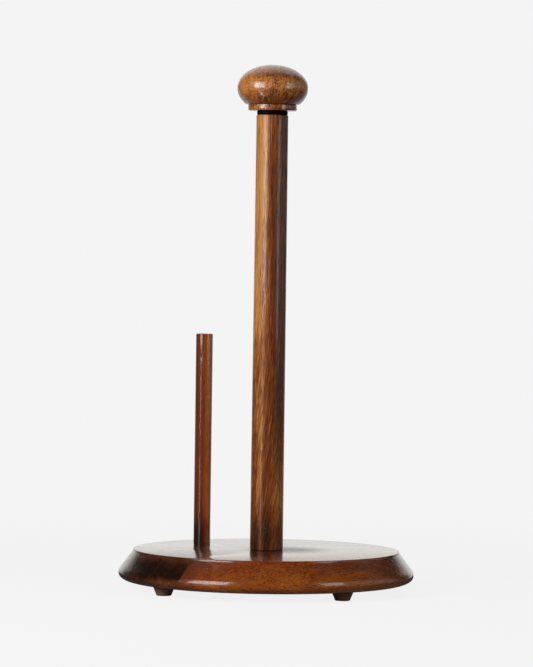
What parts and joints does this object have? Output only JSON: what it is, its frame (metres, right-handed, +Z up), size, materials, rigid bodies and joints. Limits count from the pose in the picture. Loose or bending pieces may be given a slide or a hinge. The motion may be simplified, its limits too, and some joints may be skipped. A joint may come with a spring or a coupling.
{
  "type": "paper towel holder",
  "caption": "Countertop paper towel holder: round bevelled wood base, tall post with screw-off ball knob, slim fixed side rod, tapered rubber feet.",
  "frame": {"origin": "on the table, under the centre of the base and of the post", "axes": "+Z up along the post; the side rod stands towards -X; the base boards and their grain run along Y"},
  "size_m": [0.1906, 0.1906, 0.3388],
  "materials": {
    "board_dark": "clear gloss lacquer over dark acacia heartwood",
    "board_light": "clear gloss lacquer over orange-brown acacia",
    "post_wood": "clear gloss lacquer over streaked acacia",
    "rod_wood": "clear gloss lacquer over reddish-brown acacia",
    "knob_wood": "clear gloss lacquer over turned acacia",
    "rubber": "dark brown-black moulded rubber, satin",
    "steel": "bright zinc-plated steel",
    "brass": "plain machined brass"
  },
  "bodies": {
    "holder": {"base_board_rod_side": "board_dark", "base_board_middle": "board_dark", "base_board_outer": "board_light", "post": "post_wood", "side_rod": "rod_wood", "post_insert": "brass", "post_screw": "steel", "post_screw_washer": "steel", "foot_outer": "rubber", "foot_washer_outer": "steel", "foot_screw_outer": "steel", "foot_back": "rubber", "foot_washer_back": "steel", "foot_screw_back": "steel", "foot_rod_side": "rubber", "foot_washer_rod_side": "steel", "foot_screw_rod_side": "steel", "foot_front": "rubber", "foot_washer_front": "steel", "foot_screw_front": "steel"},
    "washer": {"knob_washer": "rubber"},
    "knob": {"knob": "knob_wood", "knob_bolt": "steel"}
  },
  "joints": [
    {"name": "knob_lift", "type": "slide", "parent": "holder", "child": "washer", "axis": [0, 0, 1], "range_m": [0, 0.0125]},
    {"name": "knob_turn", "type": "hinge", "parent": "washer", "child": "knob", "pos_m": [0, 0, 0.3091], "axis": [0, 0, 1], "range_deg": [0, 3600]}
  ],
  "couplings": [
    {"joint": "knob_lift", "follows": "knob_turn", "m_per_rad": 0.00019894}
  ]
}
